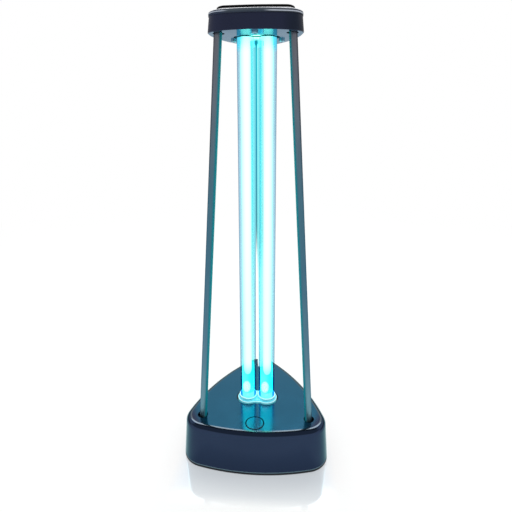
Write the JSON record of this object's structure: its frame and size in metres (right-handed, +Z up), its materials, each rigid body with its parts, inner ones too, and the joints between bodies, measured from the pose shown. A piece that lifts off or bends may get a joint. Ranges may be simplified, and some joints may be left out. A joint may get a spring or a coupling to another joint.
{
  "type": "uv germicidal lamp",
  "caption": "Table-top ultraviolet germicidal lamp: a bare quartz tube stands between a rounded triangular base and a top cap, guarded by leaning metal rods, with a flush push button.",
  "frame": {"origin": "on the table, under the lamp's axis", "axes": "+Z up along the lamp, -Y towards the front with the push button"},
  "size_m": [0.1406, 0.134, 0.4137],
  "materials": {
    "navy_gloss": "high-gloss navy moulding",
    "black_satin": "satin black",
    "pad_rubber": "fine matt rubber",
    "rod_slate": "satin slate-grey coating",
    "fastener_steel": "plated",
    "quartz": "clear quartz, lit",
    "electrode_metal": "bare wire and glass stem",
    "clear_cap": "translucent pale cyan",
    "pin_brass": "turned",
    "holder_black": "moulded",
    "board_green": "solder mask",
    "choke_ferrite": "sintered ferrite",
    "capacitor_sleeve": "shrink sleeve",
    "film_box": "moulded box",
    "terminal_plastic": "moulded",
    "switch_black": "moulded",
    "gland_rubber": "moulded rubber",
    "cover_grey": "gloss grey lip",
    "trim_bright": "polished plating",
    "lid_black": "gloss black",
    "support_silicone": "soft translucent silicone"
  },
  "bodies": {
    "lamp": {"base_shell": "navy_gloss", "cap_body": "navy_gloss", "base_plate": "black_satin", "anti_slip_pad": "pad_rubber", "rod_front_left": "rod_slate", "rod_front_right": "rod_slate", "rod_rear": "rod_slate", "base_plate_screws": "fastener_steel", "rod_foot_screws": "fastener_steel", "rod_head_screws": "fastener_steel", "lampholder_screws": "fastener_steel", "ballast_screws": "fastener_steel", "switch_board_screws": "fastener_steel", "cap_screws": "fastener_steel", "uv_tube": "quartz", "electrodes": "electrode_metal", "lamp_cap": "clear_cap", "lamp_pins": "pin_brass", "lampholder": "holder_black", "ballast_board": "board_green", "switch_board": "board_green", "ballast_choke": "choke_ferrite", "ballast_capacitor": "capacitor_sleeve", "film_capacitors": "film_box", "terminal_block": "terminal_plastic", "push_switch": "switch_black", "cable_gland": "gland_rubber", "cap_cover": "cover_grey", "cap_trim": "trim_bright", "cap_lid": "lid_black", "tube_support": "support_silicone"},
    "button": {"power_button": "navy_gloss", "switch_plunger": "switch_black"}
  },
  "joints": [
    {"name": "button_press", "type": "slide", "parent": "lamp", "child": "button", "axis": [0, 0, -1], "range_m": [0, 0.0015], "stiffness_N_per_m": 400, "springref_m": -0.002}
  ]
}
